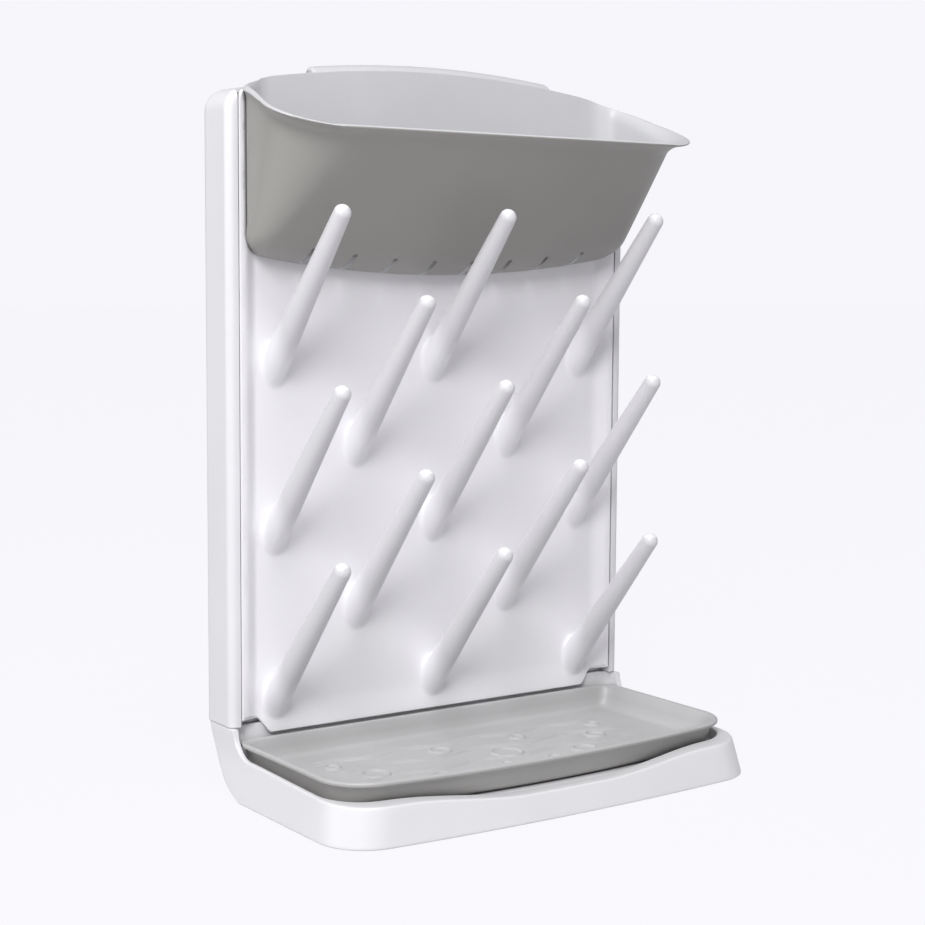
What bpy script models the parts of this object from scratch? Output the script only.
"""Countertop bottle drying rack: base, back tower, peg wall, two trays and four feet.

Metres, +Z up. The origin is on the counter, under the middle of the footprint.
The front of the rack faces -Y, the back of the tower is at +Y, and right is +X.
Widths along X are half widths. Parts are shaped by live modifiers, whose hidden
tools sit in the "cutters" collection.
"""

import bmesh
import bpy
from math import atan2, cos, pi, radians, sin, sqrt
from mathutils import Matrix, Vector

MM = 0.001

# ---- shared dimensions -------------------------------------------------------
DEPTH = 154.4 * MM            # whole footprint, front to back
BACK_DEPTH = 29.2 * MM        # from the front of the peg wall to the back
PANEL_Y = DEPTH / 2 - BACK_DEPTH
SHELL = 2.5 * MM

TOWER_W = 129.8 * MM
TOWER_TOP = 377.0 * MM        # top of the arch
ARCH = 0.755                  # drop of the arch, metres per square metre
SEAM_Z = 36.3 * MM            # joint between the base and the tower
PANEL_W = 123.1 * MM
FIELD = 5.0 * MM              # the pegged field is sunk this far behind the border
HOOK_W = 77.5 * MM            # top tray's hook, along the rear rim
TRAY_BOW = 7.5 * MM           # bow of the bottom tray's front, and of its recess

HEEL_R = 50.0 * MM            # big rounding at the lower back
HEEL_Y = PANEL_Y + BACK_DEPTH - HEEL_R

BASE_BOTTOM = 0.8 * MM        # the feet stand this much proud
TONGUE_X = 70 * MM            # the tower's two tongues plug into slots in the base
TONGUE_W = 20 * MM
TONGUE_FRONT = PANEL_Y + 8 * MM
TONGUE_REAR = PANEL_Y + 15 * MM
TONGUE_PLAY = 0.6 * MM
CLEATS = (110 * MM, 205 * MM, 330 * MM)   # heights where the peg wall hangs on the tower

FOOT_R = 8.0 * MM
FOOT_X = 106.0 * MM
SIDES = (("left", -1), ("right", 1))
FEET = [
    (f"{end}_{side}", (sign * FOOT_X, y))
    for side, sign in SIDES
    for end, y in (("front", PANEL_Y - 99.0 * MM), ("rear", PANEL_Y - 36.0 * MM))
]

# Limits of cutters that run clear of the rack.
CUT_WIDTH = 300 * MM          # full width
CUT_X = 200 * MM              # half width
ABOVE_BASE = 60 * MM
ABOVE_TOWER = 420 * MM


# ---- scene and helpers -------------------------------------------------------
for old in list(bpy.data.objects):
    bpy.data.objects.remove(old, do_unlink=True)

parts = bpy.data.collections.new("bottle_drying_rack")
cutters = bpy.data.collections.new("cutters")
bpy.context.scene.collection.children.link(parts)
bpy.context.scene.collection.children.link(cutters)


def material(name, colour, roughness):
    mat = bpy.data.materials.new(name)
    mat.use_nodes = True
    bsdf = mat.node_tree.nodes["Principled BSDF"]
    bsdf.inputs["Base Color"].default_value = colour
    bsdf.inputs["Roughness"].default_value = roughness
    mat.diffuse_color = colour
    return mat


def add(name, data, collection):
    obj = bpy.data.objects.new(name, data)
    collection.objects.link(obj)
    if collection is cutters:
        obj.hide_render = True
        obj.display_type = "WIRE"
    return obj


def from_bmesh(name, bm, collection=cutters):
    bmesh.ops.recalc_face_normals(bm, faces=bm.faces)
    mesh = bpy.data.meshes.new(name)
    bm.to_mesh(mesh)
    bm.free()
    return add(name, mesh, collection)


def box(name, low, high):
    bm = bmesh.new()
    bmesh.ops.create_cube(bm, size=1.0)
    low, high = Vector(low), Vector(high)
    bmesh.ops.scale(bm, vec=high - low, verts=bm.verts)
    bmesh.ops.translate(bm, vec=(low + high) / 2, verts=bm.verts)
    return from_bmesh(name, bm)


def cylinder(name, radius, centre, bottom, top):
    bm = bmesh.new()
    bmesh.ops.create_cone(
        bm, cap_ends=True, segments=20, radius1=radius, radius2=radius, depth=top - bottom
    )
    bmesh.ops.translate(bm, verts=bm.verts, vec=(*centre, (bottom + top) / 2))
    return from_bmesh(name, bm)


def plate(name, points, thickness, matrix, collection=cutters):
    """A flat outline as a filled 2D curve, given a thickness and placed by a matrix."""
    curve = bpy.data.curves.new(name, "CURVE")
    curve.dimensions = "2D"
    curve.fill_mode = "BOTH"
    curve.extrude = thickness / 2
    spline = curve.splines.new("POLY")
    spline.points.add(len(points) - 1)
    for point, (u, v) in zip(spline.points, points):
        point.co = (u, v, 0.0, 1.0)
    spline.use_cyclic_u = True
    guide = add(name + "_curve", curve, cutters)
    bpy.context.view_layer.update()
    evaluated = guide.evaluated_get(bpy.context.evaluated_depsgraph_get())
    mesh = bpy.data.meshes.new_from_object(evaluated)
    bm = bmesh.new()
    bm.from_mesh(mesh)
    bmesh.ops.remove_doubles(bm, verts=bm.verts, dist=0.00001)
    bm.transform(matrix)
    bpy.data.meshes.remove(mesh)
    bpy.data.objects.remove(guide, do_unlink=True)
    bpy.data.curves.remove(curve)
    return from_bmesh(name, bm, collection)


def front_plate(name, points, near, far, collection=cutters):
    """Outline in X and Z; near and far are measured back from the peg wall's face."""
    middle = Matrix.Translation((0, PANEL_Y + (near + far) / 2, 0))
    upright = middle @ Matrix.Rotation(radians(90), 4, "X")
    return plate(name, points, far - near, upright, collection)


def side_plate(name, points, width):
    """Outline in Y and Z, full width along X."""
    turn = Matrix(((0, 0, 1, 0), (1, 0, 0, 0), (0, 1, 0, 0), (0, 0, 0, 1)))
    return plate(name, points, width, turn)


def bent_cap(bm, row, split):
    """Triangles between a ring's front run, up to index split, and its back run."""
    front = row[: split + 1]
    back = [row[0]] + row[:split:-1] + [row[split]]
    i = j = 0
    while i < len(front) - 1 or j < len(back) - 1:
        step_front = i < len(front) - 1 and (
            j == len(back) - 1 or front[i + 1].co.x > back[j + 1].co.x
        )
        corners = {front[i], back[j], front[i + 1] if step_front else back[j + 1]}
        if len(corners) == 3:   # the two runs share their end points
            bm.faces.new(list(corners))
        i, j = (i + 1, j) if step_front else (i, j + 1)


def loft(name, rings, collection=cutters, split=None):
    """A closed body through rings of equal count, capped at both ends.

    split is the index where a ring's front run ends, for caps that aren't flat.
    """
    bm = bmesh.new()
    rows = [[bm.verts.new(point) for point in ring] for ring in rings]
    count = len(rows[0])
    for lower, upper in zip(rows, rows[1:]):
        for i in range(count):
            j = (i + 1) % count
            bm.faces.new((lower[i], lower[j], upper[j], upper[i]))
    for row in (rows[0], rows[-1]):
        if split is None:
            bm.faces.new(row)
        else:
            bent_cap(bm, row, split)
    return from_bmesh(name, bm, collection)


def profile_mesh(name, profile):
    """An open line of (radius, height) points for the screw modifier."""
    mesh = bpy.data.meshes.new(name)
    edges = [(i, i + 1) for i in range(len(profile) - 1)]
    mesh.from_pydata([(radius, 0.0, z) for radius, z in profile], edges, [])
    return mesh


def turned(obj, steps):
    screw = obj.modifiers.new("turned", "SCREW")
    screw.angle = 2 * pi
    screw.steps = screw.render_steps = steps
    screw.use_merge_vertices = True
    screw.merge_threshold = 0.00001
    screw.use_smooth_shade = True


def boolean(obj, tool, operation="DIFFERENCE"):
    modifier = obj.modifiers.new(operation.lower() + "_" + tool.name, "BOOLEAN")
    modifier.operation = operation
    modifier.solver = "EXACT"
    modifier.object = tool


def finish(obj, mat):
    obj.data.materials.append(mat)
    obj.data.shade_smooth()
    obj.data.set_sharp_from_angle(angle=radians(35))


def arc(x, y, radius, start, end, steps):
    angles = [start + (end - start) * i / steps for i in range(steps + 1)]
    return [(x + radius * cos(a), y + radius * sin(a)) for a in angles]


def arch_z(x, top=TOWER_TOP):
    return top - ARCH * x * x


def arched_outline(half, bottom, corner, top=TOWER_TOP):
    """Straight sides, rounded upper corners and an arched top, in X and Z.

    It runs counter-clockwise from the lower right, seen from the front.
    """
    arch_steps, corner_steps = 12, 4
    slope = atan2(2 * ARCH * (half - corner), 1.0)
    arch_half = half - corner + corner * sin(slope)
    corner_z = arch_z(arch_half, top) - corner * cos(slope)
    right = arc(half - corner, corner_z, corner, 0.0, pi / 2 - slope, corner_steps)
    arch_x = [arch_half - 2 * arch_half * i / arch_steps for i in range(1, arch_steps)]
    arch = [(x, arch_z(x, top)) for x in arch_x]
    left = [(-x, z) for x, z in reversed(right)]
    return [(half, bottom)] + right + arch + left + [(-half, bottom)]


def footprint(half, front, rear, front_radius, rear_radius, bow):
    """Plan outline, clockwise seen from above, from the right rear.

    front and rear are distances from the peg wall's face. The front edge bows out.
    """
    front_steps, corner_steps, rear_steps = 8, 6, 3
    rear_x, rear_y = half - rear_radius, rear - rear_radius
    front_x, edge_y = half - front_radius, -front + bow
    front_y = edge_y + front_radius
    points = arc(rear_x, rear_y, rear_radius, pi / 2, 0.0, rear_steps)
    points += arc(front_x, front_y, front_radius, 0.0, -pi / 2, corner_steps)
    for i in range(1, front_steps):
        s = 1 - 2 * i / front_steps
        points.append((front_x * s, edge_y - bow * (1 - s ** 2)))
    points += arc(-front_x, front_y, front_radius, -pi / 2, -pi, corner_steps)
    points += arc(-rear_x, rear_y, rear_radius, pi, pi / 2, rear_steps)
    return [(x, PANEL_Y + y) for x, y in points]


def level(points, z):
    return [Vector((x, y, z)) for x, y in points]


def heel_cutter(name):
    """Everything outside the big rounding at the lower back."""
    points = arc(HEEL_Y, HEEL_R, HEEL_R, -pi / 2, -0.055, 10)
    outside, below = HEEL_Y + 80 * MM, -10 * MM
    points += [(outside, points[-1][1]), (outside, below), (HEEL_Y, below)]
    return side_plate(name, points, CUT_WIDTH)


def cleat_outline(profile, z):
    """Y and Z points from (millimetres behind the peg wall's face, above the cleat)."""
    return [(PANEL_Y + back * MM, z + up * MM) for back, up in profile]


# ---- base --------------------------------------------------------------------
BASE_W = 133.2 * MM
BASE_FRONT = 125.2 * MM       # in front of the peg wall
BASE_CORNER = 27.4 * MM
BASE_REAR_CORNER = 5 * MM
WALL_TOP = 22.3 * MM          # side wall
FRONT_TOP = 19.3 * MM         # front wall, at the ends of its scoop
SWEEP_BACK = 2.5 * MM         # top end of the sweep, in front of the peg wall
# z, half width, front and front bow of each ring, from the bottom up
BASE_RINGS = (
    (BASE_BOTTOM, BASE_W - 0.7 * MM, BASE_FRONT - 0.7 * MM, 4 * MM),
    (BASE_BOTTOM + 0.9 * MM, BASE_W, BASE_FRONT, 4 * MM),
    (16.8 * MM, BASE_W - 3.0 * MM, BASE_FRONT - 4.4 * MM, 3 * MM),
    (WALL_TOP, TOWER_W - 0.4 * MM, BASE_FRONT - 5.9 * MM, 3 * MM),
    (SEAM_Z, TOWER_W, BASE_FRONT - 6.2 * MM, 3 * MM),
)

SCOOP_DROP = 5.1 * MM
SCOOP_W = 98                  # millimetres, like the next two
SCOOP_FLAT = 24               # half width of its level middle
SCOOP_X = (SCOOP_FLAT, 36, 48, 60, 70, 80, 90, SCOOP_W)

RECESS_W = 125.0 * MM
RECESS_MOUTH = 1.7 * MM       # extra half width of its upper part
RECESS_FRONT = 113.5 * MM
RECESS_BACK = 5.6 * MM
RECESS_FLOOR = 14.0 * MM
RECESS_CORNER = 24 * MM
RECESS_REAR_CORNER = 7 * MM

HOLLOW_FRONT = PANEL_Y - 104 * MM
HOLLOW_BOTTOM = -2 * MM
HOLLOW_W = 236 * MM           # full width

BOSS_TOP = RECESS_FLOOR - 1.2 * MM


def space_above_walls():
    """The space above the low front and side walls, with a sweep up to the tower."""
    radius = SEAM_Z - WALL_TOP + 1 * MM
    sweep = arc(PANEL_Y - SWEEP_BACK - radius, WALL_TOP + radius, radius, -pi / 2, 0.0, 6)
    outside = PANEL_Y - 150 * MM
    points = [(outside, FRONT_TOP), (PANEL_Y - 103 * MM, FRONT_TOP)]
    points += [(PANEL_Y - 60 * MM, WALL_TOP)] + sweep
    points += [(sweep[-1][0], ABOVE_BASE), (outside, ABOVE_BASE)]
    return side_plate("above_walls", points, CUT_WIDTH)


def front_scoop():
    """Shallow scoop along the top of the front wall, with S-shaped ends."""
    right = []
    for x in SCOOP_X:
        s = (x - SCOOP_FLAT) / (SCOOP_W - SCOOP_FLAT)
        right.append((x * MM, FRONT_TOP - SCOOP_DROP * (1 - s * s * (3 - 2 * s))))
    right.append((SCOOP_W * MM, FRONT_TOP + 8 * MM))
    left = [(-x, z) for x, z in reversed(right)]
    return front_plate("front_scoop", left + right, -133 * MM, -103 * MM)


def tray_recess():
    lower, upper = (
        footprint(half, RECESS_FRONT, RECESS_BACK, RECESS_CORNER, RECESS_REAR_CORNER, TRAY_BOW)
        for half in (RECESS_W, RECESS_W + RECESS_MOUTH)
    )
    rings = [level(lower, RECESS_FLOOR), level(lower, 20 * MM)]
    rings += [level(upper, 22 * MM), level(upper, ABOVE_BASE)]
    return loft("tray_recess", rings)


def underside():
    """Open underside: a shallow space below the tray and a tall one in the heel."""
    heel_front = HEEL_Y - 2 * MM
    step_y = TONGUE_FRONT - TONGUE_PLAY
    roof = RECESS_FLOOR - SHELL
    points = [(HOLLOW_FRONT, HOLLOW_BOTTOM), (heel_front, HOLLOW_BOTTOM)]
    points += [(heel_front, BASE_BOTTOM + SHELL + 0.8 * MM)]
    points += arc(HEEL_Y, HEEL_R, HEEL_R - SHELL, -0.47 * pi, -0.125 * pi, 8)
    points += [(points[-1][0], SEAM_Z - SHELL), (step_y, SEAM_Z - SHELL)]
    points += [(step_y, roof), (HOLLOW_FRONT, roof)]
    return side_plate("underside", points, HOLLOW_W)


def tongue_slot(side, sign):
    x, half = sign * TONGUE_X, TONGUE_W + TONGUE_PLAY
    return box(
        f"tongue_slot_{side}",
        (x - half, TONGUE_FRONT - TONGUE_PLAY, SEAM_Z - 8 * MM),
        (x + half, TONGUE_REAR + TONGUE_PLAY, SEAM_Z + 8 * MM),
    )


def build_base(mat):
    rings = [
        level(footprint(half, front, BACK_DEPTH, BASE_CORNER, BASE_REAR_CORNER, bow), z)
        for z, half, front, bow in BASE_RINGS
    ]
    base = loft("base", rings, parts)
    boolean(base, heel_cutter("base_heel"))
    boolean(base, space_above_walls())
    boolean(base, front_scoop())
    boolean(base, tray_recess())
    boolean(base, underside())
    for side, sign in SIDES:
        boolean(base, tongue_slot(side, sign))
    # Each foot is seated in a round boss.
    for tag, centre in FEET:
        boss = cylinder("boss_" + tag, FOOT_R + 2 * MM, centre, BASE_BOTTOM, BOSS_TOP)
        boolean(base, boss, "UNION")
        seat = cylinder(
            "seat_" + tag, FOOT_R + 0.4 * MM, centre,
            BASE_BOTTOM - 2.2 * MM, BASE_BOTTOM + 1.8 * MM,
        )
        boolean(base, seat)
    finish(base, mat)


# ---- feet: turned rubber pads with a rounded lower edge ----------------------
FOOT_TOP = BASE_BOTTOM + 1.5 * MM
FOOT_PROFILE = (              # radius, z
    (0.0, FOOT_TOP), (FOOT_R, FOOT_TOP), (FOOT_R, 0.9 * MM),
    (FOOT_R - 0.3 * MM, 0.3 * MM), (FOOT_R - 0.9 * MM, 0.0), (0.0, 0.0),
)


def build_feet(mat):
    for tag, (x, y) in FEET:
        foot = add("foot_" + tag, profile_mesh("foot_profile", FOOT_PROFILE), parts)
        foot.location = (x, y, 0.0)
        turned(foot, 20)
        foot.data.materials.append(mat)


# ---- tower: back housing -----------------------------------------------------
TOWER_BOTTOM = SEAM_Z + 0.3 * MM
TOWER_CORNER = 12.0 * MM
TOWER_EDGE = 5.0 * MM         # rounding of the long outer edges
PANEL_GAP = 0.5 * MM          # beside the peg wall
OPENING_DEPTH = 8.2 * MM
INSIDE_FRONT = 7.8 * MM       # front of the inner space, behind the peg wall's face
NOTCH_PLAY = 1.5 * MM
LEDGE_W = 180 * MM            # full width
LEDGE_PROFILE = ((27.4, -8), (12, -1), (12, 6), (18, 0), (27.4, 0))


def round_outer_edges(housing):
    """Bevel the front and back outlines, except along the bottom."""
    middle = PANEL_Y + BACK_DEPTH / 2
    tolerance = 1e-5
    bm = bmesh.new()
    bm.from_mesh(housing.data)
    weight = bm.edges.layers.float.new("bevel_weight_edge")
    for edge in bm.edges:
        start, end = (vert.co for vert in edge.verts)
        if (
            abs(start.y - end.y) < tolerance
            and max(start.z, end.z) > SEAM_Z + 1 * MM
            and abs(abs(start.y - middle) - BACK_DEPTH / 2) < tolerance
            and len(edge.link_faces) == 2
            and abs(edge.link_faces[0].normal.dot(edge.link_faces[1].normal)) < 0.5
        ):
            edge[weight] = 1.0
    bm.to_mesh(housing.data)
    bm.free()
    bevel = housing.modifiers.new("rounded", "BEVEL")
    bevel.width = TOWER_EDGE
    bevel.segments = 3
    bevel.limit_method = "WEIGHT"


def front_opening():
    """Opening for the peg wall: open at the top, so that the wall leaves upwards."""
    half, below = PANEL_W + PANEL_GAP, -20 * MM
    points = [(-half, below), (half, below), (half, ABOVE_TOWER), (-half, ABOVE_TOWER)]
    return front_plate("front_opening", points, -OPENING_DEPTH, OPENING_DEPTH)


def housing_inside():
    points = arched_outline(
        TOWER_W - SHELL, TOWER_BOTTOM + SHELL, TOWER_CORNER - SHELL, TOWER_TOP - SHELL
    )
    return front_plate("housing_inside", points, INSIDE_FRONT, BACK_DEPTH - SHELL)


def hook_notch():
    """Notch in the top wall for the top tray's hook."""
    half = HOOK_W + NOTCH_PLAY
    return box(
        "hook_notch",
        (-half, PANEL_Y + 6 * MM, 345 * MM), (half, PANEL_Y + 11.8 * MM, 400 * MM),
    )


def tongue(side, sign):
    x = sign * TONGUE_X
    return box(
        f"tongue_{side}",
        (x - TONGUE_W, TONGUE_FRONT, 21.5 * MM), (x + TONGUE_W, TONGUE_REAR, SEAM_Z + 2 * MM),
    )


def build_housing(mat):
    outline = arched_outline(TOWER_W, TOWER_BOTTOM, TOWER_CORNER)
    housing = front_plate("back_housing", outline, 0, BACK_DEPTH, parts)
    round_outer_edges(housing)
    boolean(housing, heel_cutter("housing_heel"))
    boolean(housing, front_opening())
    boolean(housing, housing_inside())
    boolean(housing, hook_notch())
    # Bevelled ledges that the peg wall hangs on.
    for number, z in enumerate(CLEATS, 1):
        ledge = side_plate(f"ledge_{number}", cleat_outline(LEDGE_PROFILE, z), LEDGE_W)
        boolean(housing, ledge, "UNION")
    for side, sign in SIDES:
        boolean(housing, tongue(side, sign), "UNION")
    finish(housing, mat)


# ---- peg wall ----------------------------------------------------------------
PANEL_T = 2.5 * MM
PANEL_CORNER = 8.0 * MM
PANEL_STEP_Z = 39.5 * MM      # lower ends of the sides, beside the drip tab
DRIP_Z = 30.6 * MM            # lower edge of the drip tab
DRIP_W = 104.5 * MM
DRIP_W_TOP = 112.0 * MM
DRIP_TOP = PANEL_STEP_Z - 0.3 * MM
DRIP_BACK = 5.0 * MM          # back of the tab, behind the wall's face

FIELD_W = 112.0 * MM
FIELD_LOW = 46.0 * MM
FIELD_SPLAY = 9.5 * MM        # sideways run of its sloping sides over its depth
FIELD_RAMP = 30.0 * MM        # downward run of its sloping foot over its depth
FIELD_OVERRUN = 0.4           # the cutter stands out by this share of the depth

CORE_X = (114.8 * MM, 120.6 * MM)
CORE_Z = (45 * MM, 352 * MM)
CLEAT_HOOK_W = 160 * MM       # full width
CLEAT_HOOK_PROFILE = (
    (6.5, 7), (11.6, 7), (17.6, 1), (20.5, 1), (20.5, 3), (14, 10), (6.5, 10),
)

PEG_ROWS = 5
PEG_PITCH_X = 100.0 * MM
PEG_PITCH_Z = 44.2 * MM
PEG_TOP_ROOT_Z = 225.1 * MM   # where the axes of the top row meet the wall
PEG_AXIS = Vector((0, -67.4 * MM, 76.6 * MM))
PEG_TIP_R = 4.85 * MM
PEG_ROOT_R = 7.3 * MM
PEG_FLARE_R = 9.8 * MM
PEG_BURIED = -14 * MM         # root end, below the field before trimming


def sunk_field():
    grow = 1 + FIELD_OVERRUN
    rings = []
    for y, half, low in (
        (-FIELD * FIELD_OVERRUN, FIELD_W + FIELD_SPLAY * grow, FIELD_LOW - FIELD_RAMP * grow),
        (FIELD, FIELD_W, FIELD_LOW),
    ):
        corners = ((-half, low), (half, low), (half, ABOVE_TOWER), (-half, ABOVE_TOWER))
        rings.append([Vector((x, PANEL_Y + y, z)) for x, z in corners])
    return loft("sunk_field", rings)


def border_core(side, sign):
    """Deep groove in the back of the border."""
    left, right = sorted(sign * x for x in CORE_X)
    return box(
        f"border_core_{side}",
        (left, PANEL_Y + PANEL_T, CORE_Z[0]), (right, PANEL_Y + 20 * MM, CORE_Z[1]),
    )


def make_pegs():
    """Turned, tapered rods with a round tip and a flared root, in staggered rows."""
    length = PEG_AXIS.length
    profile = [(0.0, length + PEG_TIP_R)]
    profile += [
        (PEG_TIP_R * sin(a), length + PEG_TIP_R * cos(a)) for a in (pi / 6, pi / 3, pi / 2)
    ]
    profile += [
        (PEG_TIP_R + (PEG_ROOT_R - PEG_TIP_R) * (1 - s), length * s) for s in (0.55, 0.2)
    ]
    profile += [(PEG_ROOT_R + 0.7 * MM, 9 * MM), (PEG_FLARE_R, -1.0 * MM)]
    profile += [(PEG_FLARE_R, PEG_BURIED), (0.0, PEG_BURIED)]
    mesh = profile_mesh("peg_profile", profile)

    trim = box(
        "peg_trim",
        (-CUT_X, PANEL_Y + FIELD + 1.5 * MM, -0.05), (CUT_X, PANEL_Y + 70 * MM, 0.5),
    )
    tilt = Vector((0, 0, 1)).rotation_difference(PEG_AXIS.normalized())
    pegs = []
    for row in range(PEG_ROWS):
        for column in (-1, 0, 1) if row % 2 == 0 else (-0.5, 0.5):
            peg = add(f"peg_{len(pegs) + 1:02d}", mesh, cutters)
            peg.rotation_mode = "QUATERNION"
            peg.rotation_quaternion = tilt
            z = PEG_TOP_ROOT_Z - row * PEG_PITCH_Z
            peg.location = (column * PEG_PITCH_X, PANEL_Y + FIELD, z)
            turned(peg, 14)
            boolean(peg, trim)
            pegs.append(peg)
    return pegs


def build_peg_wall(mat):
    outline = arched_outline(PANEL_W, PANEL_STEP_Z, PANEL_CORNER)
    outline += [(-DRIP_W_TOP, DRIP_TOP), (-DRIP_W, DRIP_Z)]
    outline += [(DRIP_W, DRIP_Z), (DRIP_W_TOP, DRIP_TOP)]
    panel = front_plate("peg_panel", outline, 0, FIELD + PANEL_T, parts)
    boolean(panel, sunk_field())
    for side, sign in SIDES:
        boolean(panel, border_core(side, sign))
    for peg in make_pegs():
        boolean(panel, peg, "UNION")
    # The drip tab at the bottom is thin.
    tab_back = box(
        "tab_back",
        (-CUT_X, PANEL_Y + DRIP_BACK, 0.0), (CUT_X, PANEL_Y + 20 * MM, SEAM_Z + 1.2 * MM),
    )
    boolean(panel, tab_back)
    for number, z in enumerate(CLEATS, 1):
        outline = cleat_outline(CLEAT_HOOK_PROFILE, z)
        boolean(panel, side_plate(f"hook_{number}", outline, CLEAT_HOOK_W), "UNION")
    finish(panel, mat)


# ---- bottom tray -------------------------------------------------------------
TRAY_W = 126.0 * MM
TRAY_FRONT = 115.5 * MM
TRAY_REAR = 2.2 * MM          # the rear wall sits this far behind the peg wall's face
TRAY_RIM_Z = 29.3 * MM
TRAY_BOTTOM = 14.6 * MM
# z in metres, then inset, front radius, rear radius and rear inset in millimetres;
# up the outside, over the rim and down the inside
TRAY_RINGS = (
    (TRAY_BOTTOM, 8.0, 20, 5, 4),
    (TRAY_BOTTOM + 1.4 * MM, 6.2, 21, 6, 2),
    (TRAY_RIM_Z - 3.2 * MM, 2.6, 23, 7, 0.4),
    (TRAY_RIM_Z - 2.2 * MM, 0.2, 25, 8, 0),
    (TRAY_RIM_Z - 0.4 * MM, 0.0, 25, 8, 0),
    (TRAY_RIM_Z, 0.6, 25, 8, 0.4),
    (TRAY_RIM_Z, 2.2, 24, 7, 1.8),
    (TRAY_RIM_Z - 1.2 * MM, 4.4, 22, 7, 2.6),
    (TRAY_BOTTOM + 4.2 * MM, 7.6, 20, 6, 4.0),
    (TRAY_BOTTOM + 2.2 * MM, 11.0, 17, 5, 7.0),
)


def build_bottom_tray(mat):
    rings = []
    for z, *sizes in TRAY_RINGS:
        inset, front_radius, rear_radius, rear_inset = (size * MM for size in sizes)
        plan = footprint(
            TRAY_W - inset, TRAY_FRONT - inset, TRAY_REAR - rear_inset,
            front_radius, rear_radius, TRAY_BOW,
        )
        rings.append(level(plan, z))
    finish(loft("bottom_tray", rings, parts), mat)


# ---- top tray: a wedge-shaped basket with a flared lip -----------------------
# In this section t runs from 0 at the floor to 1 at the rim.
BASKET_W = 119.5 * MM         # at the back
BASKET_FLARE = 8.0 * MM       # extra half width at the front of the rim
BASKET_FRONT = 70.0 * MM
BASKET_BOTTOM = 271.9 * MM
BASKET_RIM_FRONT = 336.0 * MM # top of the straight wall, below the lip
BASKET_RIM_BACK = 373.8 * MM
BASKET_T = 2.2 * MM
BASKET_Y = PANEL_Y + FIELD - 0.5 * MM

FLOOR_FRONT = 4 * MM          # front wall's distance from the back at t = 0
KNEE_FRONT = 23 * MM          # and where the rounded floor meets the straight wall
KNEE = 0.177                  # t of that place
SIDE_ROUND = 11.5 * MM        # sideways rounding of the floor
SIDE_ROUND_TOP = 0.13         # t where it ends
HEIGHTS = (0.0, 0.02, 0.06, 0.12, KNEE, 0.36, 0.68, 1.0)
CORNER_STEPS, FRONT_STEPS, BACK_STEPS = 5, 8, 10

LIP_OUT = 8.0 * MM
LIP_UP = 7.0 * MM
# inset, share of LIP_OUT and share of LIP_UP of each ring, from outside to inside
LIP_RINGS = (
    (0.0, 0.28, 0.6), (0.0, 0.95, 0.82), (0.0, 1.0, 0.95), (0.0, 0.92, 1.0),
    (1.4 * MM, 0.3, 0.86),
)

HOOK_UP = 7.0                 # crest above the top edge of the peg wall, millimetres
HOOK_STEPS = 8
HOOK_PROFILE = (              # millimetres behind the sunk field and above the arch
    (-2.4, -8.0), (-0.7, -8.0), (-0.7, 0.5), (3.5, 0.5), (3.5, -9.0), (6.0, -9.0),
    (6.0, HOOK_UP - 0.8), (5.2, HOOK_UP), (3.8, HOOK_UP), (-0.2, HOOK_UP - 2.4), (-2.4, 0.8),
)

SLOTS = 8
SLOT_PITCH = 25.0 * MM
SLOT_W = 3.0 * MM             # full width


def basket_front(t):
    """Distance from the back plane to the front wall."""
    if t < KNEE:
        return FLOOR_FRONT + (KNEE_FRONT - FLOOR_FRONT) * (t / KNEE) ** 0.6
    return KNEE_FRONT + (BASKET_FRONT - KNEE_FRONT) * (t - KNEE) / (1 - KNEE)


def basket_half(t):
    if t < SIDE_ROUND_TOP:
        return BASKET_W - SIDE_ROUND * (1 - sqrt(1 - (1 - t / SIDE_ROUND_TOP) ** 2))
    return BASKET_W


def basket_plan(half, front, flare, corner, y_back):
    """Plan outline from the right rear, round the front and back along the rear.

    The rear corners are cut off at a slant, to follow the sides of the sunk field.
    """
    corner = min(corner, front * 0.75)
    cut = min(FIELD, front * 0.2)
    start_x = half + flare * (front - corner) / front
    right = [(half, -cut)]
    for i in range(CORNER_STEPS + 1):
        a = pi / 2 * i / CORNER_STEPS
        bulge = (half + flare - start_x) * sin(a)
        x = start_x + bulge - corner * (1 - cos(a))
        right.append((x, -(front - corner) - corner * sin(a)))
    reach = right[-1][0]
    edge = [(reach * (1 - 2 * i / FRONT_STEPS), -front) for i in range(1, FRONT_STEPS)]
    left = [(-x, y) for x, y in reversed(right)]
    back = half - 1.75 * cut
    rear = [(-back + 2 * back * i / BACK_STEPS, 0.0) for i in range(BACK_STEPS + 1)]
    return [(x, y_back + y) for x, y in right + edge + left + rear]


def floor_z(x):
    return BASKET_BOTTOM + ARCH * x * x


def rim_z(x, y, front):
    """Straight front rim, arched rear rim and sloping sides."""
    forward = max(0.0, min(1.0, (BASKET_Y - y) / front))
    back = arch_z(x, BASKET_RIM_BACK)
    return back + (BASKET_RIM_FRONT - back) * forward


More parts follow.
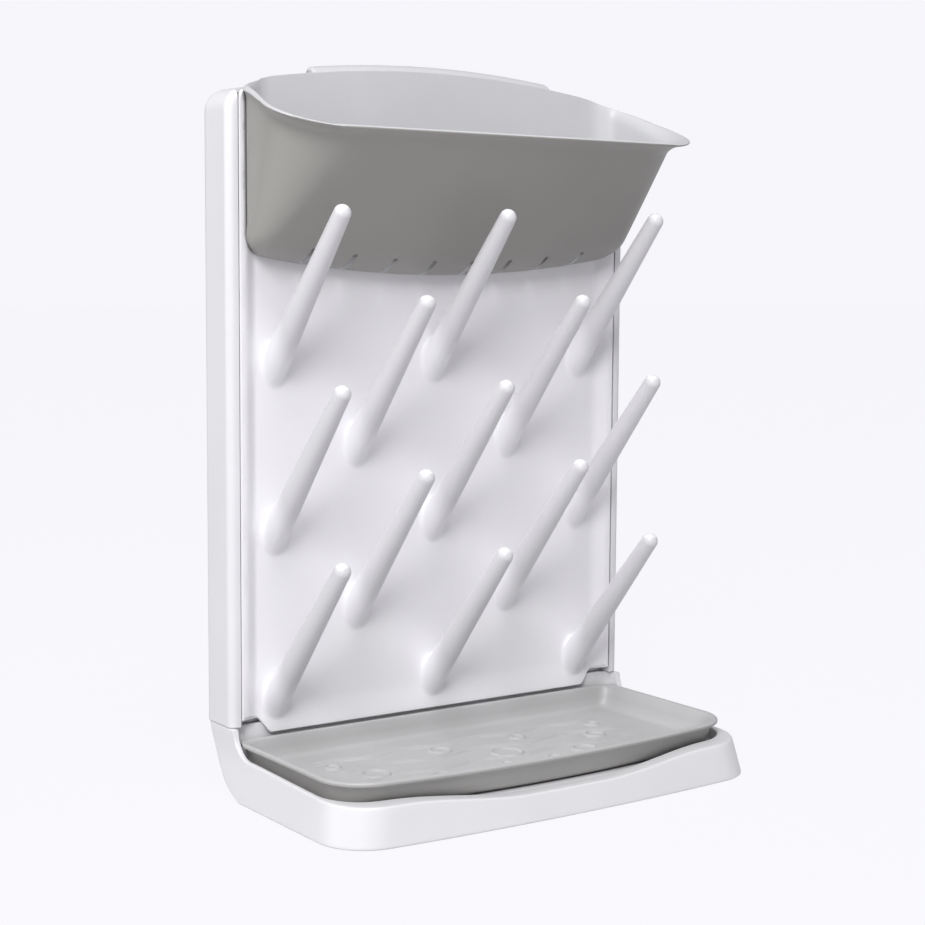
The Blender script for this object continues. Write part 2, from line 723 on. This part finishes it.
def basket_ring(t, inset=0.0, out=0.0, up=0.0, floor=0.0):
    half = basket_half(t) - inset + out * 0.5
    front = basket_front(t) - 2.15 * inset + out
    flare = BASKET_FLARE * t + out * 0.5
    corner = 4 * MM + 34 * MM * t
    ring = []
    for x, y in basket_plan(half, front, flare, corner, BASKET_Y - inset):
        low = floor_z(x) + floor
        high = rim_z(x, y, front)
        ring.append(Vector((x, y, low + (high - low) * t + up)))
    return ring


def rear_hook():
    """Sweeps back from the rear wall over the peg wall's top edge and drops behind it."""
    sections = []
    for i in range(HOOK_STEPS + 1):
        x = -HOOK_W + 2 * HOOK_W * i / HOOK_STEPS
        sections.append([
            Vector((x, PANEL_Y + FIELD + y * MM, arch_z(x) + z * MM)) for y, z in HOOK_PROFILE
        ])
    return loft("rear_hook", sections)


def drain_slot(index):
    x = (index - (SLOTS - 1) / 2) * SLOT_PITCH
    z = floor_z(x)
    return box(
        f"drain_slot_{index + 1}",
        (x - SLOT_W / 2, BASKET_Y - 24 * MM, z - 8 * MM),
        (x + SLOT_W / 2, BASKET_Y - 3.2 * MM, z + 10 * MM),
    )


def build_top_tray(mat):
    outer = [basket_ring(t) for t in HEIGHTS]
    lip = [
        basket_ring(1.0, inset=inset, out=LIP_OUT * out, up=LIP_UP * up)
        for inset, out, up in LIP_RINGS
    ]
    inner = [
        basket_ring(t, inset=BASKET_T, floor=BASKET_T * 1.2) for t in reversed(HEIGHTS[1:])
    ]
    front_end = len(outer[0]) - (BACK_STEPS + 2)
    tray = loft("top_tray", outer + lip + inner, parts, split=front_end)
    boolean(tray, rear_hook(), "UNION")
    for index in range(SLOTS):
        boolean(tray, drain_slot(index))
    finish(tray, mat)


# ---- assembly ----------------------------------------------------------------
white = material("white_moulding", colour=(0.86, 0.86, 0.88, 1.0), roughness=0.35)
pearl = material("peg_wall_white", colour=(0.83, 0.83, 0.86, 1.0), roughness=0.32)
grey = material("basket_grey", colour=(0.40, 0.40, 0.385, 1.0), roughness=0.42)
pale_grey = material("drip_tray_grey", colour=(0.46, 0.46, 0.45, 1.0), roughness=0.42)
rubber = material("foot_rubber", colour=(0.55, 0.55, 0.56, 1.0), roughness=0.8)

build_base(white)
build_feet(rubber)
build_housing(white)
build_peg_wall(pearl)
build_bottom_tray(pale_grey)
build_top_tray(grey)
bpy.context.view_layer.update()
